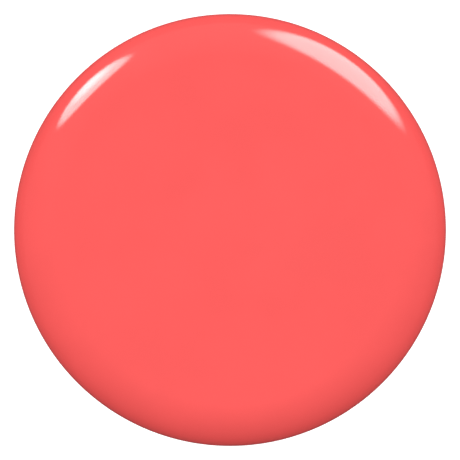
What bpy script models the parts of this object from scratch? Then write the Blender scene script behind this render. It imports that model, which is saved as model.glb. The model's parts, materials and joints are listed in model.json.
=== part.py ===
"""Nail polish bottle with a shade button on its cap.

A thick round glass bottle is closed by a slim screw cap that carries the brush. A wide
overcap pulls off the slim cap, and a domed button in the polish's colour is glued to its
top. Lengths are in metres, +Z is up, and the origin is the centre of the face that the
bottle stands on.
"""

import math

import bmesh
import bpy

MM = 0.001
GAP = 0.3 * MM

# Glass bottle.
BODY_R = 15.0 * MM
WALL = 2.6 * MM
HEEL_R = 2.6 * MM
SHOULDER_R = 3.2 * MM
SHOULDER_TOP = 38.2 * MM
FLOOR_Z = 4.6 * MM
PUNT_R = 9.4 * MM
PUNT_DEPTH = 0.9 * MM
NECK_R = 5.6 * MM
NECK_TOP = 49.6 * MM
BORE_R = 4.15 * MM

# Screw thread. The two crests pass each other, so that the cap can also lift straight off.
THREAD_LEAD = 2.12 * MM
THREAD_TURNS = 1.5
NECK_CREST_R = 6.2 * MM
CAP_CREST_R = 6.4 * MM
NECK_THREAD_Z = 43.6 * MM
CAP_THREAD_Z = 42.4 * MM

# Filling and mixing balls.
FILL_Z = 32.0 * MM
CHANNEL_R = 3.0 * MM
CHANNEL_FLOOR = 7.0 * MM
BALL_R = 2.0 * MM
BALL_ORBIT = 8.6 * MM
BALL_Z = 7.6 * MM

# Slim cap and brush.
INNER_CAP_R = 8.2 * MM
RIB_HEIGHT = 0.4 * MM
INNER_CAP_BORE = 6.9 * MM
INNER_CAP_BOTTOM = 40.4 * MM
INNER_CAP_TOP = 64.0 * MM
SOCKET_R = 2.3 * MM
SOCKET_BOTTOM = 53.2 * MM
STEM_R = 1.7 * MM
STEM_END = 22.0 * MM
STEM_BORE = 1.2 * MM
STEM_BORE_TOP = 26.8 * MM
BRISTLE_TIP = 8.3 * MM

# Overcap and shade button.
SHELL_WALL = 0.6 * MM
SHELL_BOTTOM = 39.3 * MM
SHELL_TOP = 68.0 * MM
TOP_PLATE = 0.8 * MM
DISH_R = 8.6 * MM
DISH_DEPTH = 1.3 * MM
INSERT_BORE = 9.0 * MM
INSERT_R = 10.1 * MM
INSERT_BOTTOM = 40.0 * MM
WEIGHT_HEIGHT = 10.5 * MM
BUTTON_R = 15.5 * MM
RIM_WIDTH = 0.2 * BUTTON_R
RIM_HEIGHT = 2.5 * MM
BUTTON_WAIST = 0.9 * MM

CORAL = (1.0, 0.117, 0.112)


def clear_scene():
    for obj in list(bpy.data.objects):
        bpy.data.objects.remove(obj)


def material(name, colour, roughness, metallic=0.0, transmission=0.0):
    made = bpy.data.materials.new(name)
    made.use_nodes = True
    made.diffuse_color = (*colour, 1.0)
    surface = made.node_tree.nodes["Principled BSDF"]
    surface.inputs["Base Color"].default_value = (*colour, 1.0)
    surface.inputs["Roughness"].default_value = roughness
    surface.inputs["Metallic"].default_value = metallic
    surface.inputs["Transmission Weight"].default_value = transmission
    return made


def arc(centre, radii, start, end, steps):
    """Points from start to end degrees around an ellipse, as (radius, height) pairs."""
    points = []
    for i in range(steps + 1):
        angle = math.radians(start + (end - start) * i / steps)
        points.append((centre[0] + radii[0] * math.cos(angle),
                       centre[1] + radii[1] * math.sin(angle)))
    return points


def finish(name, bm, surface, origin_z=0.0, sharp=35):
    """Turn a bmesh into a smooth-shaded object whose origin sits on the Z axis."""
    bmesh.ops.translate(bm, verts=bm.verts, vec=(0, 0, -origin_z))
    bmesh.ops.recalc_face_normals(bm, faces=bm.faces)
    mesh = bpy.data.meshes.new(name)
    bm.to_mesh(mesh)
    bm.free()
    mesh.materials.append(surface)
    mesh.shade_smooth()
    mesh.set_sharp_from_angle(angle=math.radians(sharp))
    obj = bpy.data.objects.new(name, mesh)
    obj.location.z = origin_z
    bpy.context.collection.objects.link(obj)
    return obj


def spun(profile, segments, closed=False):
    """Spin (radius, height) points around Z. A closed profile makes a ring."""
    bm = bmesh.new()
    verts = [bm.verts.new((radius, 0, height)) for radius, height in profile]
    pairs = list(zip(verts, verts[1:]))
    if closed:
        pairs.append((verts[-1], verts[0]))
    edges = [bm.edges.new(pair) for pair in pairs]
    bmesh.ops.spin(bm, geom=verts + edges, cent=(0, 0, 0), axis=(0, 0, 1), dvec=(0, 0, 0),
                   angle=math.tau, steps=segments, use_merge=True, use_duplicate=False)
    bmesh.ops.remove_doubles(bm, verts=bm.verts, dist=0.001 * MM)
    return bm


def disc(name, radius, bottom, thickness, surface):
    top = bottom + thickness
    profile = [(0, bottom), (radius, bottom), (radius, top), (0, top)]
    return finish(name, spun(profile, 40), surface, bottom)


def helix_ridge(name, root_r, crest_r, bottom, surface):
    """A screw thread's ridge, sunk a little into the wall and tapered at both ends."""
    steps_per_turn = 26
    steps = int(THREAD_TURNS * steps_per_turn)
    taper_steps = 4
    half_root = 0.55 * MM
    half_crest = 0.2 * MM
    sink = 0.3 * MM * (1 if root_r < crest_r else -1)
    bm = bmesh.new()
    previous = None
    for i in range(steps + 1):
        fade = min(1, (i + 1) / taper_steps, (steps - i + 1) / taper_steps)
        angle = math.tau * i / steps_per_turn
        height = bottom + THREAD_LEAD * i / steps_per_turn
        crest = root_r + (crest_r - root_r) * fade
        section = [(root_r - sink, -half_root), (crest, -half_crest),
                   (crest, half_crest), (root_r - sink, half_root)]
        ring = [bm.verts.new((radius * math.cos(angle), radius * math.sin(angle), height + rise))
                for radius, rise in section]
        if previous is None:
            bm.faces.new(ring)
        else:
            for j in range(4):
                k = (j + 1) % 4
                bm.faces.new((previous[j], previous[k], ring[k], ring[j]))
        previous = ring
    bm.faces.new(reversed(previous))
    ridge = finish(name, bm, surface)
    ridge.hide_render = True
    ridge.display_type = "WIRE"
    return ridge


def join_ridge(obj, ridge):
    union = obj.modifiers.new("thread", "BOOLEAN")
    union.operation = "UNION"
    union.solver = "EXACT"
    union.object = ridge


def glass_bottle(surface):
    slope_r = 6.9 * MM
    slope_z = 38.9 * MM
    cove = slope_r - NECK_R
    lip = 0.4 * MM
    cavity_r = BODY_R - WALL
    inner_arc = 3.0 * MM
    inner_slope_z = 35.6 * MM
    foot_r = BODY_R - HEEL_R
    outside = [(0, PUNT_DEPTH), (PUNT_R, PUNT_DEPTH), (PUNT_R + 0.8 * MM, 0)]
    outside += arc((foot_r, HEEL_R), (HEEL_R, HEEL_R), -90, 0, 5)
    outside += arc((BODY_R - SHOULDER_R, SHOULDER_TOP - SHOULDER_R), (SHOULDER_R, SHOULDER_R), 0, 82, 5)
    outside += arc((slope_r, slope_z + cove), (cove, cove), -90, -180, 3)
    neck = arc((NECK_R - lip, NECK_TOP - lip), (lip, lip), 0, 90, 2)
    neck += [(BORE_R + lip, NECK_TOP), (BORE_R, NECK_TOP - lip), (BORE_R, 37.6 * MM)]
    inside = [(BORE_R + 1.0 * MM, 36.6 * MM)]
    inside += arc((cavity_r - inner_arc, inner_slope_z - inner_arc), (inner_arc, inner_arc), 90, 0, 4)
    inside += arc((cavity_r - HEEL_R, FLOOR_Z + HEEL_R), (HEEL_R, HEEL_R), 0, -90, 4)
    inside += [(0, FLOOR_Z)]
    bottle = finish("glass_bottle", spun(outside + neck + inside, 48), surface)
    join_ridge(bottle, helix_ridge("neck_thread_guide", NECK_R, NECK_CREST_R, NECK_THREAD_Z, surface))
    return bottle


def polish(surface):
    """The filling, with a channel for the brush and a covered race for the balls."""
    outer_r = BODY_R - WALL - GAP
    corner = HEEL_R - GAP
    race_in = BALL_ORBIT - BALL_R - GAP
    race_out = BALL_ORBIT + BALL_R + GAP
    race_floor = BALL_Z - BALL_R - GAP
    race_ceiling = BALL_Z + BALL_R + GAP
    island_top = race_ceiling - GAP
    chamfer = 1.0 * MM
    profile = [(0, FLOOR_Z + GAP)]
    profile += arc((outer_r - corner, FLOOR_Z + HEEL_R), (corner, corner), -90, 0, 4)
    profile += [(outer_r, FILL_Z), (CHANNEL_R, FILL_Z), (CHANNEL_R, race_ceiling)]
    profile += [(race_out, race_ceiling), (race_out, race_floor + chamfer)]
    profile += [(race_out - chamfer, race_floor), (race_in, race_floor), (race_in, island_top)]
    profile += [(CHANNEL_R, island_top), (CHANNEL_R, CHANNEL_FLOOR), (0, CHANNEL_FLOOR)]
    return finish("polish", spun(profile, 40), surface, FLOOR_Z)


def mixing_ball(index, azimuth, surface):
    """A ball that rolls round the base, hung from an empty on the bottle's axis."""
    axis = bpy.data.objects.new(f"ball_axis_{index}", None)
    axis.location.z = BALL_Z
    axis.rotation_euler.z = math.radians(azimuth)
    bpy.context.collection.objects.link(axis)
    bm = bmesh.new()
    bmesh.ops.create_uvsphere(bm, u_segments=16, v_segments=9, radius=BALL_R)
    ball = finish(f"mixing_ball_{index}", bm, surface, sharp=80)
    ball.parent = axis
    ball.location.x = BALL_ORBIT


def neck_wiper(surface):
    plug_r = BORE_R - GAP
    flange_r = 5.0 * MM
    flange_bottom = NECK_TOP + GAP
    flange_top = flange_bottom + 0.6 * MM
    bore = 3.1 * MM
    orifice = 2.55 * MM
    end = 42.0 * MM
    profile = [(plug_r, flange_bottom), (plug_r, end + 1.0 * MM), (3.2 * MM, end), (orifice, end)]
    profile += [(orifice, end + 0.6 * MM), (bore, end + 1.6 * MM), (bore, flange_top - 0.3 * MM)]
    profile += [(bore + 0.3 * MM, flange_top), (flange_r, flange_top), (flange_r, flange_bottom)]
    return finish("neck_wiper", spun(profile, 24, closed=True), surface, flange_bottom)


def cap_liner(surface):
    bottom = 50.8 * MM
    top = 51.6 * MM
    inner = 2.4 * MM
    outer = 6.4 * MM
    profile = [(inner, bottom), (outer, bottom), (outer, top), (inner, top)]
    return finish("cap_liner", spun(profile, 32, closed=True), surface, bottom)


def push_ribs(bm, top, bottom):
    """Lift every second pair of columns of the outer wall into grip ribs."""
    for vert in bm.verts:
        radius = math.hypot(vert.co.x, vert.co.y)
        column = round(math.atan2(vert.co.y, vert.co.x) / math.tau * 48) % 3
        on_wall = abs(radius - INNER_CAP_R) < 0.05 * MM
        if on_wall and column != 0 and bottom - GAP < vert.co.z < top + GAP:
            grown = (INNER_CAP_R + RIB_HEIGHT) / radius
            vert.co.x *= grown
            vert.co.y *= grown


def inner_cap(surface):
    rib_top = INNER_CAP_TOP - 2.0 * MM
    rib_bottom = INNER_CAP_BOTTOM + 1.6 * MM
    edge = 0.8 * MM
    ceiling = INNER_CAP_TOP - 2.0 * MM
    tube_r = 3.7 * MM
    profile = [(0, INNER_CAP_TOP)]
    profile += arc((INNER_CAP_R - edge, INNER_CAP_TOP - edge), (edge, edge), 90, 0, 3)
    profile += [(INNER_CAP_R, rib_top + 0.6 * MM), (INNER_CAP_R, rib_top)]
    profile += [(INNER_CAP_R, rib_bottom), (INNER_CAP_R, rib_bottom - 0.6 * MM)]
    profile += [(INNER_CAP_R, INNER_CAP_BOTTOM + 0.3 * MM), (INNER_CAP_R - 0.3 * MM, INNER_CAP_BOTTOM)]
    profile += [(INNER_CAP_BORE + 0.3 * MM, INNER_CAP_BOTTOM), (INNER_CAP_BORE, INNER_CAP_BOTTOM + 0.3 * MM)]
    profile += [(INNER_CAP_BORE, ceiling), (tube_r, ceiling), (tube_r, SOCKET_BOTTOM)]
    profile += [(SOCKET_R, SOCKET_BOTTOM), (SOCKET_R, ceiling - 2.0 * MM), (0, ceiling - 2.0 * MM)]
    bm = spun(profile, 48)
    push_ribs(bm, rib_top, rib_bottom)
    cap = finish("inner_cap", bm, surface, INNER_CAP_BOTTOM)
    join_ridge(cap, helix_ridge("cap_thread_guide", INNER_CAP_BORE, CAP_CREST_R, CAP_THREAD_Z, surface))
    return cap


def brush_stem(surface):
    plug_r = SOCKET_R - GAP
    plug_top = 58.4 * MM
    flange_r = 5.6 * MM
    flange_top = SOCKET_BOTTOM - GAP
    flange_bottom = flange_top - 1.0 * MM
    profile = [(0, plug_top), (plug_r - 0.3 * MM, plug_top), (plug_r, plug_top - 0.3 * MM)]
    profile += [(plug_r, flange_top), (flange_r, flange_top), (flange_r, flange_bottom)]
    profile += [(STEM_R + 0.3 * MM, flange_bottom), (STEM_R, flange_bottom - 1.6 * MM)]
    profile += [(STEM_R, STEM_END + 1.0 * MM), (STEM_R - 0.2 * MM, STEM_END), (STEM_BORE, STEM_END)]
    profile += [(STEM_BORE, STEM_BORE_TOP), (0, STEM_BORE_TOP)]
    return finish("brush_stem", spun(profile, 24), surface, flange_bottom)


def bristle_staple(surface):
    """A flat metal anchor across the top of the bristles, inside the stem."""
    width = 1.6 * MM
    thickness = 0.35 * MM
    height = 1.1 * MM
    centre_z = STEM_BORE_TOP - GAP - height / 2
    bm = bmesh.new()
    bmesh.ops.create_cube(bm, size=1.0)
    bmesh.ops.scale(bm, verts=bm.verts, vec=(width, thickness, height))
    bmesh.ops.bevel(bm, geom=bm.edges, offset=0.08 * MM, segments=1, affect="EDGES")
    staple = finish("bristle_staple", bm, surface)
    staple.location.z = centre_z
    return staple


def bristle_tuft(surface):
    """The bristles as one body: round where the stem grips them, then a flat oval fan."""
    root_r = STEM_BORE - GAP
    root_top = 25.0 * MM
    flat_share = 0.6
    wide_z = 11.5 * MM
    wide_r = 2.2 * MM
    neck_z = STEM_END - 0.6 * MM
    profile = [(0, root_top), (root_r, root_top), (root_r, neck_z)]
    profile += [(1.35 * MM, 19.0 * MM), (1.85 * MM, 15.5 * MM)]
    profile += arc((0, wide_z), (wide_r, wide_z - BRISTLE_TIP), 0, -90, 5)
    bm = spun(profile, 20)
    for vert in bm.verts:
        fan = min(1, max(0, (neck_z - vert.co.z) / (neck_z - wide_z)))
        vert.co.y *= 1 + (flat_share - 1) * fan
    return finish("bristle_tuft", bm, surface, root_top)


def overcap_insert(surface):
    flange_r = BODY_R - SHELL_WALL - GAP
    flange_top = INSERT_BOTTOM + 1.2 * MM
    top = SHELL_TOP - DISH_DEPTH - TOP_PLATE - GAP
    profile = [(0, top), (INSERT_R - 0.3 * MM, top), (INSERT_R, top - 0.3 * MM), (INSERT_R, flange_top)]
    profile += [(flange_r, flange_top), (flange_r, INSERT_BOTTOM), (INSERT_BORE + 0.3 * MM, INSERT_BOTTOM)]
    profile += [(INSERT_BORE, INSERT_BOTTOM + 0.3 * MM), (INSERT_BORE, top - 1.2 * MM), (0, top - 1.2 * MM)]
    return finish("overcap_insert", spun(profile, 40), surface, INSERT_BOTTOM)


def cap_weight(surface):
    bottom = INSERT_BOTTOM + 1.2 * MM + GAP
    top = bottom + WEIGHT_HEIGHT
    inner = INSERT_R + GAP
    outer = BODY_R - SHELL_WALL - 0.4 * MM
    edge = 0.3 * MM
    profile = [(inner, bottom), (outer - edge, bottom), (outer, bottom + edge)]
    profile += [(outer, top - edge), (outer - edge, top), (inner, top)]
    return finish("cap_weight", spun(profile, 40, closed=True), surface, bottom)


def overcap_shell(surface):
    edge = 1.0 * MM
    inner_r = BODY_R - SHELL_WALL
    dish_z = SHELL_TOP - DISH_DEPTH
    hem = 0.2 * MM
    profile = [(0, dish_z), (DISH_R, dish_z), (DISH_R, SHELL_TOP - 0.3 * MM), (DISH_R + 0.3 * MM, SHELL_TOP)]
    profile += arc((BODY_R - edge, SHELL_TOP - edge), (edge, edge), 90, 0, 4)
    profile += [(BODY_R, SHELL_BOTTOM + hem), (BODY_R - hem, SHELL_BOTTOM), (inner_r, SHELL_BOTTOM)]
    profile += [(inner_r, SHELL_TOP - TOP_PLATE - 0.5 * MM), (inner_r - 0.5 * MM, SHELL_TOP - TOP_PLATE)]
    profile += [(DISH_R + TOP_PLATE, SHELL_TOP - TOP_PLATE), (DISH_R + TOP_PLATE, dish_z - TOP_PLATE)]
    profile += [(0, dish_z - TOP_PLATE)]
    return finish("overcap_shell", spun(profile, 64), surface, SHELL_BOTTOM)


def shade_button(surface):
    """A drop-like dome: flat in the middle, rounded over at the rim, waisted below it."""
    boss_r = DISH_R - 0.4 * MM
    boss_bottom = SHELL_TOP - DISH_DEPTH + 0.75 * MM
    underside = SHELL_TOP + GAP
    widest_z = underside + BUTTON_WAIST
    flat_r = BUTTON_R - RIM_WIDTH
    profile = [(0, widest_z + RIM_HEIGHT)]
    profile += arc((flat_r, widest_z), (RIM_WIDTH, RIM_HEIGHT), 90, 0, 10)
    profile += arc((BUTTON_R - BUTTON_WAIST, widest_z), (BUTTON_WAIST, BUTTON_WAIST), 0, -90, 3)[1:]
    profile += [(boss_r, underside), (boss_r, boss_bottom), (0, boss_bottom)]
    return finish("shade_button", spun(profile, 96), surface, underside)


def hang(children, name, parent=None):
    """Parent pieces to an empty on the cap's axis, level with the neck's top."""
    empty = bpy.data.objects.new(name, None)
    bpy.context.collection.objects.link(empty)
    if parent:
        empty.parent = parent
    else:
        empty.location.z = NECK_TOP
    for child in children:
        child.parent = empty
        child.location.z -= NECK_TOP
    return empty


def build():
    clear_scene()
    glass = material("clear_glass", (0.97, 0.98, 0.98), 0.03, transmission=1.0)
    paper = material("label_paper", (0.85, 0.85, 0.83), 0.6)
    lacquer = material("coral_polish", CORAL, 0.15)
    gloss = material("coral_lacquer", CORAL, 0.08)
    steel = material("ball_steel", (0.6, 0.6, 0.6), 0.2, metallic=1.0)
    wiper = material("wiper_plastic", (0.82, 0.83, 0.84), 0.35)
    foam = material("liner_foam", (0.9, 0.9, 0.88), 0.7)
    cap_plastic = material("cap_plastic", (0.85, 0.85, 0.84), 0.4)
    stem_plastic = material("stem_plastic", (0.88, 0.88, 0.86), 0.35)
    brass = material("staple_brass", (0.7, 0.5, 0.22), 0.3, metallic=1.0)
    nylon = material("bristle_nylon", (0.04, 0.035, 0.035), 0.45)
    insert_plastic = material("insert_plastic", (0.8, 0.8, 0.79), 0.45)
    weight_steel = material("weight_steel", (0.45, 0.45, 0.46), 0.4, metallic=1.0)
    shell_paint = material("shell_paint", (0.9, 0.89, 0.88), 0.15)
    adhesive = material("adhesive_film", (0.8, 0.8, 0.78), 0.5)

    glass_bottle(glass)
    disc("base_label", PUNT_R - 0.8 * MM, 0.45 * MM, 0.15 * MM, paper)
    polish(lacquer)
    mixing_ball(1, 90, steel)
    mixing_ball(2, 270, steel)
    neck_wiper(wiper)

    liner = cap_liner(foam)
    turning = [inner_cap(cap_plastic), brush_stem(stem_plastic)]
    turning += [bristle_staple(brass), bristle_tuft(nylon)]
    overcap = [overcap_insert(insert_plastic), cap_weight(weight_steel), overcap_shell(shell_paint)]
    adhesive_z = SHELL_TOP - DISH_DEPTH + GAP
    overcap += [disc("button_adhesive", DISH_R - 0.6 * MM, adhesive_z, 0.15 * MM, adhesive)]
    overcap += [shade_button(gloss)]
    lift_axis = hang([liner], "cap_lift_axis")
    turn_axis = hang(turning, "cap_turn_axis", lift_axis)
    hang(overcap, "overcap_axis", turn_axis)


build()
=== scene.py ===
import json
import math
import random

import bmesh
import bpy
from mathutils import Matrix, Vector

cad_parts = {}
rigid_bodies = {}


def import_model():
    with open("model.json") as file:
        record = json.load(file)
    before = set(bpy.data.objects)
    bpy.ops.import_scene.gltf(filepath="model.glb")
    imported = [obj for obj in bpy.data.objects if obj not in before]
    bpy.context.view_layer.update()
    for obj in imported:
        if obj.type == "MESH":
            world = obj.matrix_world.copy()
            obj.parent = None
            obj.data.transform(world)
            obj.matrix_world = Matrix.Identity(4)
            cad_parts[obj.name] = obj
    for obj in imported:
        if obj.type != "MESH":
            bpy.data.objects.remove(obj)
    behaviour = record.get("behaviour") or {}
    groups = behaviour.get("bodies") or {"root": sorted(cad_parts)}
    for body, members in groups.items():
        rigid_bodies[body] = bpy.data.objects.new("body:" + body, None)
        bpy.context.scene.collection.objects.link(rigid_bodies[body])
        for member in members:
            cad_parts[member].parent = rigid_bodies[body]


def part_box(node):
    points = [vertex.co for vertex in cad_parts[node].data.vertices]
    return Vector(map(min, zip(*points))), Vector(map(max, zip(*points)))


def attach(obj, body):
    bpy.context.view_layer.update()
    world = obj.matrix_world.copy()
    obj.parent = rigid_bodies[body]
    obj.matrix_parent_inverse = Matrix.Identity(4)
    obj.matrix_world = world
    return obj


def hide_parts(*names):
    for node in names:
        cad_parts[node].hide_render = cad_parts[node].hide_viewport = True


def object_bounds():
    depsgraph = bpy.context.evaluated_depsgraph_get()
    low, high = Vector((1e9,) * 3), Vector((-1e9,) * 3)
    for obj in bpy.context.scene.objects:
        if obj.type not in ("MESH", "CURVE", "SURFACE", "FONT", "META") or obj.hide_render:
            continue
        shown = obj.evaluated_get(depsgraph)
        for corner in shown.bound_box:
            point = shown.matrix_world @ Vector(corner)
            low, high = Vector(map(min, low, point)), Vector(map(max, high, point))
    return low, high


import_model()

CAD_BOX = [list(corner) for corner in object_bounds()]
MM = 0.001

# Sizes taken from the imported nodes.
BODY_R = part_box("glass_bottle")[1].x
NECK_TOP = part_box("glass_bottle")[1].z
FILL_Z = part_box("polish")[1].z
BALL_Z = (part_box("mixing_ball_1")[0].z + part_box("mixing_ball_1")[1].z) / 2
BALL_R = (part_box("mixing_ball_1")[1].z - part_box("mixing_ball_1")[0].z) / 2
BALL_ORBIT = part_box("mixing_ball_1")[1].y - BALL_R
WIPER_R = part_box("neck_wiper")[1].x
WIPER_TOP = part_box("neck_wiper")[1].z
LINER_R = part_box("cap_liner")[1].x
LINER_Z = (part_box("cap_liner")[0].z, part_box("cap_liner")[1].z)
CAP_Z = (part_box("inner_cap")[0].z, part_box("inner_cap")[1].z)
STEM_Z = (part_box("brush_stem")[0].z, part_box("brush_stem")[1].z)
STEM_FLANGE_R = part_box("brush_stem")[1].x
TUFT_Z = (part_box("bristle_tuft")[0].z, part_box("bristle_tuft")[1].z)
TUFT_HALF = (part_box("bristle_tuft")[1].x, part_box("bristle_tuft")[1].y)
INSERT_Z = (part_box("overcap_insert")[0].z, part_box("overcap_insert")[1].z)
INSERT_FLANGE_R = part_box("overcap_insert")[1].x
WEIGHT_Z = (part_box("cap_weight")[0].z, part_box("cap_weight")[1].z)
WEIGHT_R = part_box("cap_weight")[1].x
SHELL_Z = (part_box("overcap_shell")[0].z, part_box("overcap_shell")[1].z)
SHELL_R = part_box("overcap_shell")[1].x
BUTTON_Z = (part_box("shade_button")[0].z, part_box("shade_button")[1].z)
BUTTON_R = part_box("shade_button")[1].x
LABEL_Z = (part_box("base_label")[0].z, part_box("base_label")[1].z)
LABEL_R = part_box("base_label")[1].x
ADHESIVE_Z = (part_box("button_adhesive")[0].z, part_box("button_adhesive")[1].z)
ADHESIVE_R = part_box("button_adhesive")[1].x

# The rest of the shapes.
BOTTLE_BORE = 4.15 * MM
CAVITY_R = BODY_R - 2.6 * MM
CAVITY_FLOOR = 4.6 * MM
SHOULDER_Z = 38.15 * MM
NECK_R = 5.6 * MM
THREAD_LEAD = 2.12 * MM
THREAD_TURNS = 1.5
NECK_THREAD = (43.6 * MM, 0.6 * MM)  # where it starts, and how far it stands out of the wall
CAP_THREAD = (42.4 * MM, -0.5 * MM)
STEM_R = 1.7 * MM
INNER_CAP_R = 8.2 * MM
INNER_CAP_BORE = 6.9 * MM
RIB_HEIGHT = 0.4 * MM
RIB_COUNT = 16
RIM_WIDTH = 0.2 * BUTTON_R
BUTTON_WAIST = 0.9 * MM
BUTTON_UNDERSIDE = SHELL_Z[1] + 0.3 * MM
DISH_R = 8.6 * MM
DISH_DEPTH = 1.3 * MM
SHADE_DOT_R = 4.9 * MM

CORAL = (0.955, 0.1, 0.097)


# ---------------------------------------------------------------- node helpers

def node(tree, kind, **settings):
    """Add a shader node. A setting is a property of the node, or an input by its label."""
    made = tree.nodes.new("ShaderNode" + kind)
    for key, value in settings.items():
        if hasattr(made, key):
            setattr(made, key, value)
            continue
        plug(tree, made, key.replace("_", " "), value)
    return made


def plug(tree, target, label, value):
    """Set an input of a node, or link a socket to it. A number as label is the input's place."""
    socket = target.inputs[int(label[1:])] if label[0] == "#" else target.inputs[label]
    if isinstance(value, bpy.types.NodeSocket):
        tree.links.new(value, socket)
    else:
        socket.default_value = value


def maths(tree, operation, first, second=0.0, third=0.0, clamp=False):
    made = tree.nodes.new("ShaderNodeMath")
    made.operation = operation
    made.use_clamp = clamp
    for place, value in enumerate((first, second, third)):
        plug(tree, made, f"#{place}", value)
    return made.outputs[0]


def ramp(tree, value, low, high):
    """0 below low, 1 above high, smooth between."""
    made = tree.nodes.new("ShaderNodeMapRange")
    made.interpolation_type = "SMOOTHSTEP"
    plug(tree, made, "Value", value)
    made.inputs["From Min"].default_value = low
    made.inputs["From Max"].default_value = high
    return made.outputs["Result"]


def tint(tree, share, base, other):
    """A colour that goes from base, where share is 0, to other, where it is 1."""
    made = tree.nodes.new("ShaderNodeMix")
    made.data_type = "RGBA"
    plug(tree, made, "#0", share)
    for place, colour in (("#6", base), ("#7", other)):
        plug(tree, made, place, colour if isinstance(colour, bpy.types.NodeSocket) else (*colour, 1.0))
    return made.outputs[2]


def split(tree, vector):
    """The X, Y and Z outputs of a vector."""
    made = tree.nodes.new("ShaderNodeSeparateXYZ")
    tree.links.new(vector, made.inputs["Vector"])
    return made.outputs


def toned(colour, factor):
    """A colour made darker or lighter by a factor."""
    return tuple(min(1.0, factor * channel) for channel in colour)


def group(name, inputs, outputs, build):
    """A shared effect: inputs is {name: default}, outputs a list of names."""
    tree = bpy.data.node_groups.new(name, "ShaderNodeTree")
    for label, default in inputs.items():
        socket = tree.interface.new_socket(label, in_out="INPUT", socket_type="NodeSocketFloat")
        socket.default_value = default
    for label in outputs:
        tree.interface.new_socket(label, in_out="OUTPUT", socket_type="NodeSocketFloat")
    start = tree.nodes.new("NodeGroupInput")
    end = tree.nodes.new("NodeGroupOutput")
    for label, socket in build(tree, start.outputs).items():
        tree.links.new(socket, end.inputs[label])
    return tree


def place_group(tree, shared, **settings):
    made = tree.nodes.new("ShaderNodeGroup")
    made.node_tree = shared
    for key, value in settings.items():
        plug(tree, made, key.replace("_", " "), value)
    return made


def surface_point(tree):
    return tree.nodes.new("ShaderNodeTexCoord").outputs["Object"]


def noise(tree, point, scale, detail=3.0, roughness=0.5):
    made = tree.nodes.new("ShaderNodeTexNoise")
    plug(tree, made, "Vector", point)
    plug(tree, made, "Scale", scale)
    made.inputs["Detail"].default_value = detail
    made.inputs["Roughness"].default_value = roughness
    return made.outputs["Fac"]


def stretched(tree, point, across, along):
    """The point with its X and Y scaled by across and its Z by along."""
    made = tree.nodes.new("ShaderNodeMapping")
    plug(tree, made, "Vector", point)
    made.inputs["Scale"].default_value = (across, across, along)
    return made.outputs["Vector"]


# ---------------------------------------------------------------- shared effects

def build_fine_grain(tree, given):
    point = surface_point(tree)
    coarse = noise(tree, point, given["Scale"], 4.0, 0.6)
    fine = noise(tree, point, maths(tree, "MULTIPLY", given["Scale"], 5.0), 2.0)
    return {"Height": maths(tree, "MULTIPLY_ADD", fine, 0.35, coarse)}


def build_handling_marks(tree, given):
    """Smears and fine scratches left by fingers and by other things in a drawer."""
    point = surface_point(tree)
    smear = ramp(tree, noise(tree, point, given["Scale"], 3.0, 0.55), 0.42, 0.72)
    lines = noise(tree, stretched(tree, point, 9000.0, 260.0), 1.0, 1.0)
    scratch = ramp(tree, lines, 0.68, 0.74)
    return {"Smear": maths(tree, "MULTIPLY", smear, given["Amount"]),
            "Scratch": maths(tree, "MULTIPLY", scratch, given["Amount"])}


def build_dust(tree, given):
    """Sparse round specks that settle on faces that look up."""
    point = surface_point(tree)
    cells = node(tree, "TexVoronoi", feature="F1", Vector=point, Scale=given["Scale"])
    chosen = tree.nodes.new("ShaderNodeSeparateColor")
    tree.links.new(cells.outputs["Color"], chosen.inputs["Color"])
    picked = maths(tree, "LESS_THAN", chosen.outputs["Red"], given["Amount"])
    near = maths(tree, "SUBTRACT", 1.0, ramp(tree, cells.outputs["Distance"], 0.06, 0.14))
    facing = split(tree, tree.nodes.new("ShaderNodeNewGeometry").outputs["Normal"])
    upward = ramp(tree, facing["Z"], 0.3, 0.9)
    speck = maths(tree, "MULTIPLY", near, picked)
    return {"Mask": maths(tree, "MULTIPLY", speck, upward)}


def build_edge_wear(tree, given):
    """1 on worn outer edges, broken up by noise."""
    pointed = tree.nodes.new("ShaderNodeNewGeometry").outputs["Pointiness"]
    edge = ramp(tree, pointed, 0.53, 0.62)
    broken = ramp(tree, noise(tree, surface_point(tree), given["Scale"], 4.0), 0.4, 0.62)
    worn = maths(tree, "MULTIPLY", edge, broken)
    return {"Mask": maths(tree, "MULTIPLY", worn, given["Amount"], clamp=True)}


def build_turned_lines(tree, given):
    """Fine lines that run round the Z axis, as a lathe or a brushing wheel leaves them."""
    place = split(tree, surface_point(tree))
    squares = maths(tree, "MULTIPLY", place["X"], place["X"])
    squares = maths(tree, "MULTIPLY_ADD", place["Y"], place["Y"], squares)
    radius = maths(tree, "SQRT", squares)
    across = maths(tree, "MULTIPLY", radius, given["Pitch"])
    along = maths(tree, "MULTIPLY", place["Z"], given["Pitch"])
    around = maths(tree, "MULTIPLY", maths(tree, "ARCTAN2", place["Y"], place["X"]), 3.0)
    spread = tree.nodes.new("ShaderNodeCombineXYZ")
    tree.links.new(across, spread.inputs["X"])
    tree.links.new(around, spread.inputs["Y"])
    tree.links.new(along, spread.inputs["Z"])
    return {"Height": noise(tree, spread.outputs["Vector"], 1.0, 2.0, 0.6)}


FINE_GRAIN = group("fine_grain", {"Scale": 2000.0}, ["Height"], build_fine_grain)
HANDLING_MARKS = group("handling_marks", {"Scale": 180.0, "Amount": 1.0}, ["Smear", "Scratch"],
                       build_handling_marks)
DUST = group("settled_dust", {"Scale": 900.0, "Amount": 0.1}, ["Mask"], build_dust)
EDGE_WEAR = group("edge_wear", {"Scale": 700.0, "Amount": 1.0}, ["Mask"], build_edge_wear)
TURNED_LINES = group("turned_lines", {"Pitch": 9000.0}, ["Height"], build_turned_lines)


# ---------------------------------------------------------------- materials

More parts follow.
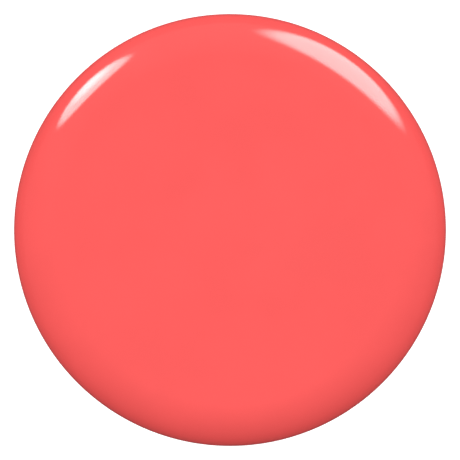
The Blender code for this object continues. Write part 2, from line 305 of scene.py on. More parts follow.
def new_surface(slot, colour, roughness, metallic=0.0):
    """The material of a slot, started again with one shader."""
    made = bpy.data.materials.get(slot) or bpy.data.materials.new(slot)
    made.use_nodes = True
    made.diffuse_color = (*colour, 1.0)
    tree = made.node_tree
    tree.nodes.clear()
    shader = node(tree, "BsdfPrincipled", Base_Color=(*colour, 1.0), Roughness=roughness,
                  Metallic=metallic)
    end = tree.nodes.new("ShaderNodeOutputMaterial")
    tree.links.new(shader.outputs[0], end.inputs["Surface"])
    return made, tree, shader


def bump(tree, shader, height, depth):
    made = tree.nodes.new("ShaderNodeBump")
    made.inputs["Strength"].default_value = 1.0
    made.inputs["Distance"].default_value = depth
    tree.links.new(height, made.inputs["Height"])
    tree.links.new(made.outputs["Normal"], shader.inputs["Normal"])


def roughen(tree, shader, base, mask, extra):
    """Roughness is base where the mask is 0 and base + extra where it is 1."""
    tree.links.new(maths(tree, "MULTIPLY_ADD", mask, extra, base), shader.inputs["Roughness"])


def coral_lacquer():
    """Cured gloss polish: an even pigment under a clear, mirror-smooth skin."""
    made, tree, shader = new_surface("coral_lacquer", CORAL, 0.12)
    pigment = noise(tree, surface_point(tree), 260.0, 3.0)
    dust = place_group(tree, DUST, Scale=1500.0, Amount=0.008)
    mottled = tint(tree, ramp(tree, pigment, 0.3, 0.7), CORAL, toned(CORAL, 0.97))
    speckled = maths(tree, "MULTIPLY", dust.outputs["Mask"], 0.05)
    plug(tree, shader, "Base Color", tint(tree, speckled, mottled, (0.9, 0.5, 0.45)))
    marks = place_group(tree, HANDLING_MARKS, Scale=120.0, Amount=1.0)
    roughen(tree, shader, 0.1, marks.outputs["Smear"], 0.04)
    return made


def coral_polish():
    """The liquid behind the glass, with faint streaks where it hasn't been shaken."""
    made, tree, shader = new_surface("coral_polish", CORAL, 0.2)
    point = stretched(tree, surface_point(tree), 70.0, 240.0)
    streak = ramp(tree, noise(tree, point, 1.0, 4.0, 0.6), 0.35, 0.75)
    plug(tree, shader, "Base Color", tint(tree, streak, CORAL, toned(CORAL, 0.86)))
    bubbles = node(tree, "TexVoronoi", feature="F1", Vector=surface_point(tree), Scale=1400.0)
    roughen(tree, shader, 0.16, ramp(tree, bubbles.outputs["Distance"], 0.1, 0.5), 0.08)
    return made


def clear_glass():
    """Pressed flint glass. Lamps shine through it, so that the polish inside is lit."""
    made, tree, shader = new_surface("clear_glass", (0.975, 0.985, 0.985), 0.02)
    shader.inputs["Transmission Weight"].default_value = 1.0
    shader.inputs["IOR"].default_value = 1.5
    marks = place_group(tree, HANDLING_MARKS, Scale=90.0, Amount=1.0)
    roughen(tree, shader, 0.012, marks.outputs["Scratch"], 0.05)
    wave = noise(tree, stretched(tree, surface_point(tree), 110.0, 60.0), 1.0, 2.0)
    bump(tree, shader, wave, 0.02 * MM)
    clear = tree.nodes.new("ShaderNodeBsdfTransparent")
    clear.inputs["Color"].default_value = (0.93, 0.95, 0.95, 1.0)
    mix = tree.nodes.new("ShaderNodeMixShader")
    tree.links.new(tree.nodes.new("ShaderNodeLightPath").outputs["Is Shadow Ray"], mix.inputs[0])
    tree.links.new(shader.outputs[0], mix.inputs[1])
    tree.links.new(clear.outputs[0], mix.inputs[2])
    tree.links.new(mix.outputs[0], tree.nodes["Material Output"].inputs["Surface"])
    return made


def moulded_plastic(name, colour, roughness, grain, depth, wear=0.5):
    """Moulded plastic with a fine skin texture, finger smears, dust and rubbed edges."""
    made, tree, shader = new_surface(name, colour, roughness)
    marks = place_group(tree, HANDLING_MARKS, Scale=150.0, Amount=1.0)
    dust = place_group(tree, DUST, Scale=800.0, Amount=0.05)
    rubbed = place_group(tree, EDGE_WEAR, Scale=600.0, Amount=wear)
    shaded = tint(tree, marks.outputs["Smear"], colour, toned(colour, 0.93))
    shaded = tint(tree, rubbed.outputs["Mask"], shaded, toned(colour, 1.12))
    dusted = maths(tree, "MULTIPLY", dust.outputs["Mask"], 0.35)
    plug(tree, shader, "Base Color", tint(tree, dusted, shaded, (0.45, 0.42, 0.38)))
    roughen(tree, shader, roughness, marks.outputs["Smear"], 0.12)
    skin = place_group(tree, FINE_GRAIN, Scale=grain)
    bump(tree, shader, skin.outputs["Height"], depth)
    return made


def turned_metal(name, colour, roughness, pitch, depth, wear=0.6):
    """Metal with lines round the axis, handling marks and brighter worn edges."""
    made, tree, shader = new_surface(name, colour, roughness, 1.0)
    lines = place_group(tree, TURNED_LINES, Pitch=pitch)
    marks = place_group(tree, HANDLING_MARKS, Scale=140.0, Amount=1.0)
    worn = place_group(tree, EDGE_WEAR, Scale=500.0, Amount=wear)
    shade = ramp(tree, lines.outputs["Height"], 0.3, 0.7)
    shaded = tint(tree, shade, toned(colour, 0.92), colour)
    plug(tree, shader, "Base Color", tint(tree, worn.outputs["Mask"], shaded, toned(colour, 1.15)))
    smeared = maths(tree, "MULTIPLY_ADD", marks.outputs["Smear"], 0.5, shade)
    roughen(tree, shader, roughness, smeared, 0.1)
    bump(tree, shader, lines.outputs["Height"], depth)
    return made


def label_paper():
    """Blank white sticker with a coral shade dot and paper fibres."""
    white = (0.86, 0.855, 0.84)
    made, tree, shader = new_surface("label_paper", white, 0.62)
    reach = tree.nodes.new("ShaderNodeVectorMath")
    reach.operation = "MULTIPLY"
    plug(tree, reach, "#0", surface_point(tree))
    plug(tree, reach, "#1", (1.0, 1.0, 0.0))
    length = tree.nodes.new("ShaderNodeVectorMath")
    length.operation = "LENGTH"
    tree.links.new(reach.outputs["Vector"], length.inputs[0])
    outside = ramp(tree, length.outputs["Value"], SHADE_DOT_R, SHADE_DOT_R + 0.1 * MM)
    printed = maths(tree, "SUBTRACT", 1.0, outside)
    fibres = place_group(tree, FINE_GRAIN, Scale=2600.0)
    paper = tint(tree, ramp(tree, fibres.outputs["Height"], 0.4, 0.9), white, (0.8, 0.79, 0.77))
    plug(tree, shader, "Base Color", tint(tree, printed, paper, CORAL))
    bump(tree, shader, fibres.outputs["Height"], 0.02 * MM)
    return made


def liner_foam():
    """Closed-cell foam: small round pits, with painted shade that darkens the colour towards the bottom
    of each pit.
    """
    white = (0.88, 0.88, 0.86)
    made, tree, shader = new_surface("liner_foam", white, 0.75)
    cells = node(tree, "TexVoronoi", feature="F1", Vector=surface_point(tree), Scale=5200.0)
    pit_height_and_shade = ramp(tree, cells.outputs["Distance"], 0.05, 0.55)
    # Painted shade: the pit mask also darkens the colour towards each pit's bottom, where the bump is
    # deepest.
    plug(tree, shader, "Base Color", tint(tree, pit_height_and_shade, toned(white, 0.82), white))
    bump(tree, shader, pit_height_and_shade, 0.05 * MM)
    return made


def bristle_nylon():
    """Black filaments, wet with polish towards the tip."""
    black = (0.03, 0.026, 0.026)
    made, tree, shader = new_surface("bristle_nylon", black, 0.4)
    ragged = noise(tree, surface_point(tree), 900.0, 3.0)
    height = maths(tree, "MULTIPLY_ADD", ragged, 4.0 * MM, split(tree, surface_point(tree))["Z"])
    dry = ramp(tree, height, STEM_Z[0] - 3.0 * MM, STEM_Z[0] + 2.0 * MM)
    plug(tree, shader, "Base Color", tint(tree, dry, CORAL, black))
    roughen(tree, shader, 0.15, dry, 0.3)
    return made


def ball_steel():
    """Polished bearing steel with faint scuffs."""
    grey = (0.62, 0.62, 0.63)
    made, tree, shader = new_surface("ball_steel", grey, 0.12, 1.0)
    marks = place_group(tree, HANDLING_MARKS, Scale=700.0, Amount=1.0)
    roughen(tree, shader, 0.08, marks.outputs["Smear"], 0.18)
    stained = maths(tree, "MULTIPLY", marks.outputs["Smear"], 0.35)
    plug(tree, shader, "Base Color", tint(tree, stained, grey, (0.5, 0.3, 0.28)))
    skin = place_group(tree, FINE_GRAIN, Scale=1500.0)
    bump(tree, shader, skin.outputs["Height"], 0.004 * MM)
    return made


LACQUER = coral_lacquer()
POLISH = coral_polish()
GLASS = clear_glass()
LABEL = label_paper()
FOAM = liner_foam()
NYLON = bristle_nylon()
BALL = ball_steel()
WIPER = moulded_plastic("wiper_plastic", (0.78, 0.8, 0.81), 0.32, 1500.0, 0.006 * MM)
CAP_PLASTIC = moulded_plastic("cap_plastic", (0.84, 0.84, 0.82), 0.38, 2200.0, 0.012 * MM)
STEM_PLASTIC = moulded_plastic("stem_plastic", (0.86, 0.86, 0.84), 0.33, 1800.0, 0.006 * MM)
INSERT_PLASTIC = moulded_plastic("insert_plastic", (0.78, 0.78, 0.77), 0.42, 2000.0, 0.012 * MM)
ADHESIVE = moulded_plastic("adhesive_film", (0.8, 0.8, 0.77), 0.5, 1200.0, 0.02 * MM, 0.2)
BRASS = turned_metal("staple_brass", (0.75, 0.55, 0.26), 0.28, 20000.0, 0.004 * MM)
STEEL = turned_metal("weight_steel", (0.48, 0.48, 0.49), 0.36, 7000.0, 0.02 * MM)
ALUMINIUM = turned_metal("shell_aluminium", (0.83, 0.83, 0.84), 0.2, 16000.0, 0.003 * MM, 0.8)


# ---------------------------------------------------------------- shapes

def arc(centre, radii, start, end, steps):
    """Points round an ellipse from start to end degrees, as (radius, height) pairs."""
    points = []
    for i in range(steps + 1):
        angle = math.radians(start + (end - start) * i / steps)
        points.append((centre[0] + radii[0] * math.cos(angle), centre[1] + radii[1] * math.sin(angle)))
    return points


def eased(corners, closed=False, steps=5):
    """Round the corners of a profile. A corner is (radius, height) or (radius, height, fillet)."""
    points = []
    count = len(corners)
    for i, corner in enumerate(corners):
        here = Vector(corner[:2])
        fillet = corner[2] if len(corner) > 2 else 0.0
        on_end = not closed and i in (0, count - 1)
        if fillet == 0.0 or on_end:
            points.append(tuple(here))
            continue
        back = (Vector(corners[i - 1][:2]) - here).normalized()
        ahead = (Vector(corners[(i + 1) % count][:2]) - here).normalized()
        half = back.angle(ahead) / 2
        reach = fillet / math.tan(half)
        centre = here + (back + ahead).normalized() * (fillet / math.sin(half))
        first = here + back * reach - centre
        last = here + ahead * reach - centre
        for j in range(steps + 1):
            points.append(tuple(centre + first.slerp(last, j / steps) * fillet))
    return points


def turned_mesh(profile, segments, closed=False):
    """Spin a profile round the Z axis. An open one starts and ends on the axis."""
    bm = bmesh.new()
    verts = [bm.verts.new((radius, 0, height)) for radius, height in profile]
    pairs = list(zip(verts, verts[1:]))
    if closed:
        pairs.append((verts[-1], verts[0]))
    edges = [bm.edges.new(pair) for pair in pairs]
    bmesh.ops.spin(bm, geom=verts + edges, cent=(0, 0, 0), axis=(0, 0, 1), dvec=(0, 0, 0),
                   angle=math.tau, steps=segments, use_merge=True, use_duplicate=False)
    bmesh.ops.remove_doubles(bm, verts=bm.verts, dist=0.0005 * MM)
    return bm


def ring_mesh(corners, segments):
    return turned_mesh(eased(corners, closed=True), segments, closed=True)


def piece(name, bm, surface, body, *nodes, sharp=40):
    """Finish a bmesh as a piece that rides on a body and stands for the CAD nodes."""
    bmesh.ops.recalc_face_normals(bm, faces=bm.faces)
    mesh = bpy.data.meshes.new(name)
    bm.to_mesh(mesh)
    bm.free()
    mesh.materials.append(surface)
    mesh.shade_smooth()
    mesh.set_sharp_from_angle(angle=math.radians(sharp))
    obj = bpy.data.objects.new(name, mesh)
    bpy.context.scene.collection.objects.link(obj)
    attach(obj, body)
    if nodes:
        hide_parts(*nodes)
    return obj


def thread_height(vert, bottom):
    """How far the screw thread stands out of the wall at a vertex, from 0 to 1."""
    half_foot, flank, taper = 0.55 * MM, 0.3 * MM, 0.12
    share = math.atan2(vert.co.y, vert.co.x) / math.tau % 1.0
    turn = round((vert.co.z - bottom) / THREAD_LEAD - share)
    along = turn + share
    if not 0 <= along <= THREAD_TURNS:
        return 0.0
    off = abs(vert.co.z - bottom - THREAD_LEAD * along)
    ridge = min(1.0, max(0.0, (half_foot - off) / flank))
    fade = min(1.0, along / taper, (THREAD_TURNS - along) / taper)
    return ridge * ridge * (3 - 2 * ridge) * fade


def cut_thread(bm, wall, thread):
    """Push the wall's vertices out, or in where the reach is negative, along the thread's helix."""
    bottom, reach = thread
    for vert in bm.verts:
        radius = math.hypot(vert.co.x, vert.co.y)
        if abs(radius - wall) < 0.01 * MM:
            grown = (wall + reach * thread_height(vert, bottom)) / radius
            vert.co.x *= grown
            vert.co.y *= grown


def rungs(radius, start, end, count):
    """Evenly spaced points straight along a wall."""
    return [(radius, start + (end - start) * i / count) for i in range(count + 1)]


# ---------------------------------------------------------------- bottle

def cavity_radius(height):
    """Inner radius of the glass above the filling."""
    straight_top = 32.6 * MM
    bend = 3.0 * MM
    rise = height - straight_top
    if rise <= 0:
        return CAVITY_R
    return CAVITY_R - bend + math.sqrt(max(0.0, bend * bend - rise * rise))


def make_bottle():
    """Thick glass with a recessed base, rounded shoulders and a screw thread on the neck."""
    neck_wall = rungs(NECK_R, 42.4 * MM, 48.6 * MM, 62)
    outside = eased([(0, 0.9 * MM), (9.4 * MM, 0.9 * MM, 0.25 * MM), (10.2 * MM, 0, 0.2 * MM),
                     (BODY_R, 0, 2.6 * MM), (BODY_R, SHOULDER_Z, 3.2 * MM),
                     (NECK_R, 39.0 * MM, 1.3 * MM), (NECK_R, 42.0 * MM)], steps=10)
    lip = eased([(NECK_R, 48.8 * MM), (NECK_R, NECK_TOP, 0.4 * MM),
                 (BOTTLE_BORE, NECK_TOP, 0.4 * MM), (BOTTLE_BORE, 40.0 * MM)])
    inside = eased([(BOTTLE_BORE, 39.5 * MM), (BOTTLE_BORE, 36.9 * MM, 1.2 * MM),
                    (CAVITY_R, 35.2 * MM, 3.0 * MM), (CAVITY_R, CAVITY_FLOOR, 2.6 * MM),
                    (0, CAVITY_FLOOR)], steps=10)
    bm = turned_mesh(outside + neck_wall + lip + inside, 120)
    cut_thread(bm, NECK_R, NECK_THREAD)
    piece("bottle_glass", bm, GLASS, "bottle", "glass_bottle")


def make_polish():
    """The filling: it wets the glass, climbs a little at the wall and dips at the stem."""
    wet = 0.02 * MM
    wall = CAVITY_R + wet
    floor = CAVITY_FLOOR - wet
    channel = TUFT_HALF[0] + 0.3 * MM
    profile = eased([(0, floor), (wall, floor, 2.6 * MM), (wall, FILL_Z)], steps=10)
    profile += arc((wall - 0.9 * MM, FILL_Z), (0.88 * MM, 0.5 * MM), 0, -90, 6)
    profile += eased([(channel + 1.6 * MM, FILL_Z - 0.5 * MM), (channel, FILL_Z - 0.6 * MM, 0.6 * MM),
                      (channel, BALL_Z + BALL_R + 0.3 * MM)])
    race = (BALL_ORBIT - BALL_R - 0.25 * MM, BALL_ORBIT + BALL_R + 0.25 * MM)
    ceiling = BALL_Z + BALL_R + 0.3 * MM
    low = BALL_Z - BALL_R - 0.25 * MM
    profile += eased([(channel, ceiling), (race[1], ceiling, 0.6 * MM), (race[1], low, 1.2 * MM),
                      (race[0], low, 0.6 * MM), (race[0], ceiling - 0.3 * MM, 0.3 * MM),
                      (channel, ceiling - 0.3 * MM)])
    profile += [(channel, 7.2 * MM), (0, 7.0 * MM)]
    piece("polish_filling", turned_mesh(profile, 96), POLISH, "bottle", "polish")


def film_top(angle, phases):
    """Height of the film that the last shake left on the glass, at one angle."""
    height = FILL_Z + 1.7 * MM
    for k, phase in enumerate(phases):
        height += 0.42 * MM * math.sin((2 * k + 3) * angle + phase) / (1 + 0.35 * k)
    return height


def make_film():
    """Thin uneven film of polish on the glass above the filling."""
    rng = random.Random(4)
    phases = [rng.uniform(0, math.tau) for _ in range(6)]
    columns, rows = 180, 12
    bm = bmesh.new()
    rings = []
    for i in range(columns):
        angle = math.tau * i / columns
        top = film_top(angle, phases)
        outer, inner = [], []
        for j in range(rows + 1):
            height = FILL_Z - 0.3 * MM + (top - FILL_Z + 0.3 * MM) * j / rows
            skin = 0.09 * MM * math.sqrt(1 - (j / (rows + 0.3)) ** 2)
            reach = cavity_radius(height) + 0.015 * MM
            for column, radius in ((outer, reach), (inner, reach - skin)):
                column.append(bm.verts.new((radius * math.cos(angle), radius * math.sin(angle), height)))
        rings.append(outer + inner[::-1])
    size = len(rings[0])
    for i in range(columns):
        here, after = rings[i], rings[(i + 1) % columns]
        for j in range(size):
            k = (j + 1) % size
            bm.faces.new((here[j], after[j], after[k], here[k]))
    piece("polish_film", bm, POLISH, "bottle", sharp=60)


def make_balls():
    """Two steel balls with faint dents."""
    for index, side in ((1, 1.0), (2, -1.0)):
        bm = bmesh.new()
        bmesh.ops.create_icosphere(bm, subdivisions=4, radius=BALL_R)
        rng = random.Random(10 + index)
        dents = [Vector([rng.gauss(0, 1) for _ in range(3)]).normalized() for _ in range(14)]
        for vert in bm.verts:
            outward = vert.co.normalized()
            nearest = max(outward.dot(dent) for dent in dents)
            vert.co *= 1 - 0.004 * max(0.0, (nearest - 0.985) / 0.015)
        bmesh.ops.translate(bm, verts=bm.verts, vec=(0, side * BALL_ORBIT, BALL_Z))
        piece(f"steel_ball_{index}", bm, BALL, f"ball_{index}", f"mixing_ball_{index}", sharp=180)


def make_label():
    """Die-cut paper disc with a slightly lifted edge."""
    low, high = LABEL_Z
    thin = 0.07 * MM
    flat_r = LABEL_R - 1.5 * MM
    cut_r = LABEL_R - 0.02 * MM
    profile = [(0, low), (flat_r, low), (cut_r, high - thin), (LABEL_R, high - thin / 2),
               (cut_r, high), (flat_r, low + thin), (0, low + thin)]
    piece("shade_label", turned_mesh(profile, 72), LABEL, "bottle", "base_label")


def make_wiper():
    """Soft plug with a flange on the neck and a lip that strips the brush."""
    plug_r = BOTTLE_BORE - 0.25 * MM
    flange_low = NECK_TOP + 0.1 * MM
    corners = [(plug_r, flange_low, 0.15 * MM), (plug_r, 43.0 * MM, 0.3 * MM),
               (3.15 * MM, 42.02 * MM, 0.15 * MM), (2.55 * MM, 42.02 * MM, 0.2 * MM),
               (2.55 * MM, 42.6 * MM, 0.2 * MM), (3.1 * MM, 43.6 * MM, 0.6 * MM),
               (3.1 * MM, WIPER_TOP, 0.35 * MM), (WIPER_R, WIPER_TOP, 0.15 * MM),
               (WIPER_R, flange_low, 0.15 * MM)]
    piece("neck_wiper_plug", ring_mesh(corners, 72), WIPER, "bottle", "neck_wiper")


# ---------------------------------------------------------------- brush cap

def make_liner():
    low, high = LINER_Z
    inner = 2.4 * MM
    corners = [(inner, low, 0.15 * MM), (LINER_R, low, 0.2 * MM),
               (LINER_R, high, 0.2 * MM), (inner, high, 0.15 * MM)]
    piece("foam_liner", ring_mesh(corners, 72), FOAM, "liner", "cap_liner")


def push_ribs(bm, top, bottom):
    """Raise the grip ribs on the slim cap's outer wall, fading out at both ends."""
    fade = 0.6 * MM
    for vert in bm.verts:
        radius = math.hypot(vert.co.x, vert.co.y)
        if abs(radius - INNER_CAP_R) > 0.01 * MM:
            continue
        ends = min(1.0, max(0.0, (vert.co.z - bottom) / fade), max(0.0, (top - vert.co.z) / fade))
        wave = math.cos(RIB_COUNT * math.atan2(vert.co.y, vert.co.x) + math.pi)
        raised = min(1.0, max(0.0, 0.5 + 0.9 * wave))
        grown = (INNER_CAP_R + RIB_HEIGHT * 0.8 * raised * ends) / radius
        vert.co.x *= grown
        vert.co.y *= grown


def make_inner_cap():
    """The slim ribbed cap: grip ribs outside, a thread and the stem's socket inside."""
    low, high = CAP_Z
    ceiling = high - 2.0 * MM
    collar_r, collar_z = 3.7 * MM, 53.2 * MM
    socket_r, socket_z = 2.3 * MM, ceiling - 2.0 * MM
    outside = eased([(0, high), (INNER_CAP_R, high, 0.8 * MM), (INNER_CAP_R, high - 1.2 * MM)], steps=8)
    outside += rungs(INNER_CAP_R, high - 1.4 * MM, low + 0.9 * MM, 60)
    skirt = eased([(INNER_CAP_R, low + 0.7 * MM), (INNER_CAP_R, low, 0.3 * MM),
                   (INNER_CAP_BORE, low, 0.3 * MM), (INNER_CAP_BORE, low + 0.6 * MM)])
    skirt += rungs(INNER_CAP_BORE, low + 0.8 * MM, 47.4 * MM, 48)
    inside = eased([(INNER_CAP_BORE, 48.0 * MM), (INNER_CAP_BORE, ceiling, 0.6 * MM),
                    (collar_r, ceiling, 0.5 * MM), (collar_r, collar_z, 0.2 * MM),
                    (socket_r, collar_z, 0.2 * MM), (socket_r, socket_z, 0.3 * MM), (0, socket_z)])
    bm = turned_mesh(outside + skirt + inside, 192)
    push_ribs(bm, high - 1.4 * MM, low + 1.0 * MM)
    cut_thread(bm, INNER_CAP_BORE, CAP_THREAD)
    piece("slim_cap", bm, CAP_PLASTIC, "brush_cap", "inner_cap")


def make_stem():
    """The brush's rod: a plug and a flange at the top, and a bore for the bristles at the tip."""
    low, high = STEM_Z
    flange = (51.9 * MM, 52.9 * MM)
    plug_r = 2.0 * MM
    bore_r, bore_top = 1.2 * MM, 26.8 * MM
    corners = [(0, high), (plug_r, high, 0.35 * MM), (plug_r, flange[1], 0.15 * MM),
               (STEM_FLANGE_R, flange[1], 0.2 * MM), (STEM_FLANGE_R, flange[0], 0.2 * MM),
               (plug_r, flange[0], 0.2 * MM), (STEM_R, 50.3 * MM, 1.0 * MM),
               (STEM_R, low + 1.2 * MM, 1.0 * MM), (1.45 * MM, low, 0.12 * MM), (bore_r, low, 0.1 * MM),
               (bore_r, bore_top, 0.2 * MM), (0, bore_top)]
    piece("brush_rod", turned_mesh(eased(corners), 64), STEM_PLASTIC, "brush_cap", "brush_stem")


def make_staple():
    """A flat piece of drawn wire, narrower at its foot, with rounded edges."""
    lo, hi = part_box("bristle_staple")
    half = (hi - lo) / 2
    centre = (hi + lo) / 2
    bm = bmesh.new()
    bmesh.ops.create_cube(bm, size=2.0)
    bmesh.ops.scale(bm, verts=bm.verts, vec=half)
    foot = [vert for vert in bm.verts if vert.co.z < 0]
    bmesh.ops.scale(bm, verts=foot, vec=(0.86, 0.8, 1.0))
    bmesh.ops.bevel(bm, geom=bm.edges, offset=0.09 * MM, segments=3, affect="EDGES")
    bmesh.ops.translate(bm, verts=bm.verts, vec=centre)
    piece("brass_staple", bm, BRASS, "brush_cap", "bristle_staple")


def filament(bm, root, belly, tip, radius):
    """One tapered bristle along a curve through three points."""
    sides, steps = 5, 9
    previous = None
    for i in range(steps + 1):
        t = i / steps
        centre = root.lerp(belly, t).lerp(belly.lerp(tip, t), t)
        width = radius * (1 - 0.55 * t * t)
        ring = [bm.verts.new((centre.x + width * math.cos(math.tau * k / sides),
                              centre.y + width * math.sin(math.tau * k / sides), centre.z))
                for k in range(sides)]
        if previous is None:
            bm.faces.new(ring)
        else:
            for k in range(sides):
                j = (k + 1) % sides
                bm.faces.new((previous[k], previous[j], ring[j], ring[k]))
        previous = ring
    bm.faces.new(reversed(previous))


def make_bristles():
    """Several hundred bristles: a round bundle at the root, a flat rounded fan at the tip."""
    rng = random.Random(7)
    low, high = TUFT_Z
    root_r = 0.8 * MM
    count = 420
    bm = bmesh.new()
    for i in range(count):
        share = math.sqrt((i + 0.5) / count)
        angle = i * math.pi * (3 - math.sqrt(5))
        across, deep = share * math.cos(angle), share * math.sin(angle)
        spread = 0.95 + 0.05 * rng.random()
        wide = TUFT_HALF[0] * 0.97 * spread
        thick = TUFT_HALF[1] * 0.97 * spread
        drop = 1 - math.sqrt(max(0.0, 1 - (0.93 * share) ** 2))
        tip_z = low + 0.06 * MM + 3.6 * MM * drop + 0.2 * MM * rng.random()
        root = Vector((root_r * across, root_r * deep, high - 0.05 * MM))
        belly = Vector((1.25 * wide * across, 1.2 * thick * deep, low + 9.5 * MM))
        tip = Vector((0.86 * wide * across, 0.8 * thick * deep, tip_z))
        filament(bm, root, belly, tip, 0.05 * MM)
    piece("bristles", bm, NYLON, "brush_cap", "bristle_tuft", sharp=80)


# ---------------------------------------------------------------- overcap

def make_insert():
    low, high = INSERT_Z
    thick = 1.2 * MM
    outer, inner = 10.1 * MM, 9.0 * MM
    corners = [(0, high), (outer, high, 0.5 * MM), (outer, low + thick, 0.4 * MM),
               (INSERT_FLANGE_R, low + thick, 0.2 * MM), (INSERT_FLANGE_R, low, 0.3 * MM),
               (inner, low, 0.4 * MM), (inner, high - thick, 0.5 * MM), (0, high - thick)]
    piece("insert_cup", turned_mesh(eased(corners), 96), INSERT_PLASTIC, "overcap", "overcap_insert")


def make_weight():
    low, high = WEIGHT_Z
    inner = 10.4 * MM
    corners = [(inner, low, 0.3 * MM), (WEIGHT_R, low, 0.4 * MM),
               (WEIGHT_R, high, 0.4 * MM), (inner, high, 0.3 * MM)]
    piece("steel_sleeve", ring_mesh(corners, 96), STEEL, "overcap", "cap_weight")


def make_shell():
    """The thin outer tube, with a dish in its top for the button's boss."""
    low, high = SHELL_Z
    wall = 0.6 * MM
    plate = 0.8 * MM
    dish = high - DISH_DEPTH
    inner = SHELL_R - wall
    corners = [(0, dish), (DISH_R, dish, 0.3 * MM), (DISH_R, high, 0.3 * MM), (SHELL_R, high, 1.0 * MM),
               (SHELL_R, low, 0.25 * MM), (inner, low, 0.25 * MM), (inner, high - plate, 0.5 * MM),
               (DISH_R + plate, high - plate, 0.3 * MM), (DISH_R + plate, dish - plate, 0.3 * MM),
               (0, dish - plate)]
    piece("overcap_tube", turned_mesh(eased(corners, steps=8), 144), ALUMINIUM,
          "overcap", "overcap_shell")


def make_adhesive():
    low, high = ADHESIVE_Z
    corners = [(0, low), (ADHESIVE_R, low, 0.05 * MM), (ADHESIVE_R, high, 0.05 * MM), (0, high)]
    piece("adhesive_disc", turned_mesh(eased(corners, steps=3), 72), ADHESIVE,
          "overcap", "button_adhesive")


def make_button():
    """The drop-like dome: flat in the middle, an elliptical rim and a tucked-in waist."""
    low, high = BUTTON_Z
    widest = BUTTON_UNDERSIDE + BUTTON_WAIST
    boss = DISH_R - 0.4 * MM
    profile = [(0, high)]
    profile += arc((BUTTON_R - RIM_WIDTH, widest), (RIM_WIDTH, high - widest), 90, 0, 40)
    profile += arc((BUTTON_R - BUTTON_WAIST, widest), (BUTTON_WAIST, BUTTON_WAIST), 0, -90, 12)[1:]
    profile += eased([(boss + 1.0 * MM, BUTTON_UNDERSIDE), (boss, BUTTON_UNDERSIDE, 0.15 * MM),
                      (boss, low, 0.15 * MM), (0, low)])
    piece("coral_button", turned_mesh(profile, 256), LACQUER, "overcap", "shade_button", sharp=60)


for make in (make_bottle, make_polish, make_film, make_balls, make_label, make_wiper, make_liner,
             make_inner_cap, make_stem, make_staple, make_bristles, make_insert, make_weight,
             make_shell, make_adhesive, make_button):
    make()


# ---------------------------------------------------------------- studio

def direction(azimuth, elevation):
    """The unit vector towards an azimuth from +X and an elevation, in degrees."""
    a, e = math.radians(azimuth), math.radians(elevation)
    return Vector((math.cos(a) * math.cos(e), math.sin(a) * math.cos(e), math.sin(e)))


def faded_light(name, shape, size, brightness, core):
    """An area light that only shows in reflections and fades from its core to its edge."""
    data = bpy.data.lights.new(name, "AREA")
    data.shape = shape
    data.size, data.size_y = size
    data.energy = brightness * math.pi * size[0] * size[1]
    if shape == "ELLIPSE":
        data.energy *= math.pi / 4
    data.use_nodes = True
    tree = data.node_tree
    place = tree.nodes.new("ShaderNodeVectorMath")
    place.operation = "DISTANCE"
    plug(tree, place, "#0", tree.nodes.new("ShaderNodeNewGeometry").outputs["Parametric"])
    plug(tree, place, "#1", (0.5, 0.5, 0.0))
    faded = maths(tree, "SUBTRACT", 1.0, ramp(tree, place.outputs["Value"], core / 2, 0.5))
    plug(tree, tree.nodes["Emission"], "Strength", faded)
    lamp = bpy.data.objects.new(name, data)
    lamp.visible_camera = False
    lamp.visible_diffuse = False
    bpy.context.scene.collection.objects.link(lamp)
    return lamp


def rim_light(name, azimuth, elevation, away, half_wide, half_tall, brightness, core):
    """An oval softbox at a distance from the button's rim.

    Its half width is the angle that its reflection fills round the rim, and its half height is an
    angle seen from the rim.
    """
    rim = 0.93 * BUTTON_R * direction(azimuth, 0)
    rim.z = BUTTON_Z[1] - 0.7 * MM
    wide = 2 * (rim.xy.length + away) * math.tan(math.radians(half_wide))
    tall = 2 * away * math.tan(math.radians(half_tall))
    lamp = faded_light(name, "ELLIPSE", (wide, tall), brightness, core)
    toward = direction(azimuth, elevation)
    lamp.location = rim + toward * away
    lamp.rotation_euler = toward.to_track_quat("Z", "Y").to_euler()
    return lamp


def make_softboxes():
    """Two soft reflections on the button's rim. Only the button shows them, so they can sit close."""
    rims = [rim_light("softbox_right", 56.2, 26.2, 0.009, 27.2, 35.7, 10.5, 0.62),
            rim_light("softbox_left", 134.3, 25.0, 0.008, 15.8, 24.2, 10.5, 0.7),
            rim_light("softbox_left_tube", 133.5, 18.5, 0.008, 10.5, 18, 8.5, 0.25)]
    lit = bpy.data.collections.new("lit_by_softboxes")
    lit.objects.link(bpy.data.objects["coral_button"])
    for lamp in rims:
        lamp.light_linking.receiver_collection = lit


def make_cards():
    """White cards for the glass and the metal. The button is flagged off from them."""
    lit = bpy.data.collections.new("lit_by_cards")
    for obj in bpy.context.scene.objects:
        if obj.type == "MESH" and obj.name != "coral_button":
            lit.objects.link(obj)
    floor = faded_light("card_floor", "ELLIPSE", (1.2, 1.2), 0.4, 0.6)
    floor.location = (0, 0, 0.2 * MM)
    floor.rotation_euler = (math.pi, 0, 0)
    cards = [floor]
    distance, middle = 130 * MM, 60 * MM
    for index, azimuth in enumerate((20, 110, 205, 295)):
        card = faded_light(f"card_{index}", "RECTANGLE", (40 * MM, 200 * MM), 1.5, 0.3)
        away = direction(azimuth, 0)
        card.location = away * distance + Vector((0, 0, middle))
        card.rotation_euler = away.to_track_quat("Z", "Y").to_euler()
        cards.append(card)
    for card in cards:
        card.visible_transmission = False
        card.light_linking.receiver_collection = lit


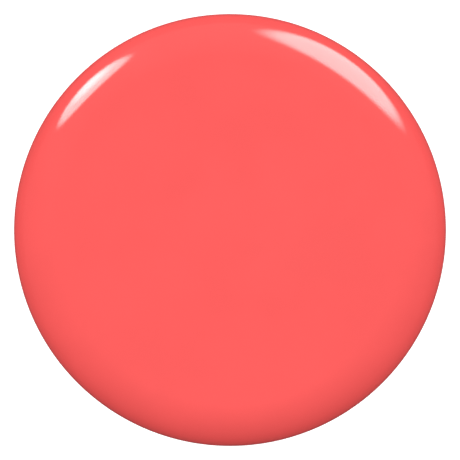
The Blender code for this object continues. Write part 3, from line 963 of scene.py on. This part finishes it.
def make_tent():
    """A soft white tent, brighter overhead and at the back, and dim in reflections."""
    even, to_back, to_top = 0.83, 0.48, 0.42
    cut_in_reflections = 0.75
    behind_the_bottle = 1.1
    world = bpy.data.worlds.new("tent")
    bpy.context.scene.world = world
    world.use_nodes = True
    tree = world.node_tree
    looking = split(tree, tree.nodes.new("ShaderNodeTexCoord").outputs["Generated"])
    back = maths(tree, "MULTIPLY_ADD", looking["Y"], to_back, even)
    glow = maths(tree, "MULTIPLY_ADD", looking["Z"], to_top, back)
    glow = maths(tree, "MAXIMUM", glow, 0.0)
    rays = tree.nodes.new("ShaderNodeLightPath").outputs
    dimmed = maths(tree, "MULTIPLY_ADD", rays["Is Glossy Ray"], -cut_in_reflections, 1.0)
    glow = maths(tree, "MULTIPLY", glow, dimmed)
    straight = maths(tree, "MAXIMUM", rays["Is Camera Ray"], rays["Is Transmission Ray"])
    seen = maths(tree, "MULTIPLY", straight, behind_the_bottle)
    shade = tree.nodes["Background"]
    shade.inputs["Color"].default_value = (1.0, 1.0, 1.0, 1.0)
    plug(tree, shade, "Strength", maths(tree, "MAXIMUM", glow, seen))


def make_table():
    """A pale glowing table top.

    It is dark in reflections and in front of the bottle, where a black flag would lie. It is clear
    from below, and for the light on the base, so that the label can be seen.
    """
    white, black = (0.8, 0.8, 0.8), (0.05, 0.05, 0.05)
    glow = 0.62
    half = 3.0
    made, tree, shader = new_surface("pale_table", white, 0.9)
    grain = noise(tree, surface_point(tree), 40.0)
    rays = tree.nodes.new("ShaderNodeLightPath").outputs
    straight = maths(tree, "MAXIMUM", rays["Is Camera Ray"], rays["Is Transmission Ray"])
    mirrored = maths(tree, "SUBTRACT", rays["Is Glossy Ray"], straight, clamp=True)
    pale = tint(tree, grain, white, (0.78, 0.78, 0.78))
    heading = tree.nodes.new("ShaderNodeVectorMath")
    heading.operation = "NORMALIZE"
    tree.links.new(surface_point(tree), heading.inputs[0])
    forward = maths(tree, "MULTIPLY", split(tree, heading.outputs["Vector"])["Y"], -1.0)
    flagged = maths(tree, "MULTIPLY", ramp(tree, forward, 0.3, 0.9), rays["Is Diffuse Ray"])
    dark = maths(tree, "MAXIMUM", mirrored, flagged)
    plug(tree, shader, "Base Color", tint(tree, dark, pale, black))
    shader.inputs["Specular IOR Level"].default_value = 0.1
    shader.inputs["Emission Color"].default_value = (1.0, 1.0, 1.0, 1.0)
    plug(tree, shader, "Emission Strength", maths(tree, "MULTIPLY", straight, glow))
    soft = maths(tree, "MAXIMUM", rays["Is Diffuse Ray"], rays["Is Shadow Ray"])
    close = maths(tree, "LESS_THAN", rays["Ray Length"], 6.0 * MM)
    below = tree.nodes.new("ShaderNodeNewGeometry").outputs["Backfacing"]
    mix = tree.nodes.new("ShaderNodeMixShader")
    plug(tree, mix, "#0", maths(tree, "MAXIMUM", below, maths(tree, "MULTIPLY", soft, close)))
    tree.links.new(shader.outputs[0], mix.inputs[1])
    tree.links.new(tree.nodes.new("ShaderNodeBsdfTransparent").outputs[0], mix.inputs[2])
    tree.links.new(mix.outputs[0], tree.nodes["Material Output"].inputs["Surface"])
    mesh = bpy.data.meshes.new("table")
    corners = [(-half, -half, 0), (half, -half, 0), (half, half, 0), (-half, half, 0)]
    mesh.from_pydata(corners, [], [(0, 1, 2, 3)])
    mesh.materials.append(made)
    table = bpy.data.objects.new("table", mesh)
    table.location.z = CAD_BOX[0][2] - 0.01 * MM
    bpy.context.scene.collection.objects.link(table)


def make_camera():
    """Straight down with a long lens. The button fills 94 % of the frame."""
    fill = 0.9392
    data = bpy.data.cameras.new("camera")
    data.lens = 500
    distance = 2 * BUTTON_R / fill / data.sensor_width * data.lens
    camera = bpy.data.objects.new("camera", data)
    camera.location = (0, 0, BUTTON_UNDERSIDE + BUTTON_WAIST + distance)
    data.clip_start = 0.01
    data.clip_end = 10
    bpy.context.scene.collection.objects.link(camera)
    bpy.context.scene.camera = camera


for make in (make_softboxes, make_cards, make_tent, make_table, make_camera):
    make()
bpy.context.scene.view_settings.view_transform = "Standard"
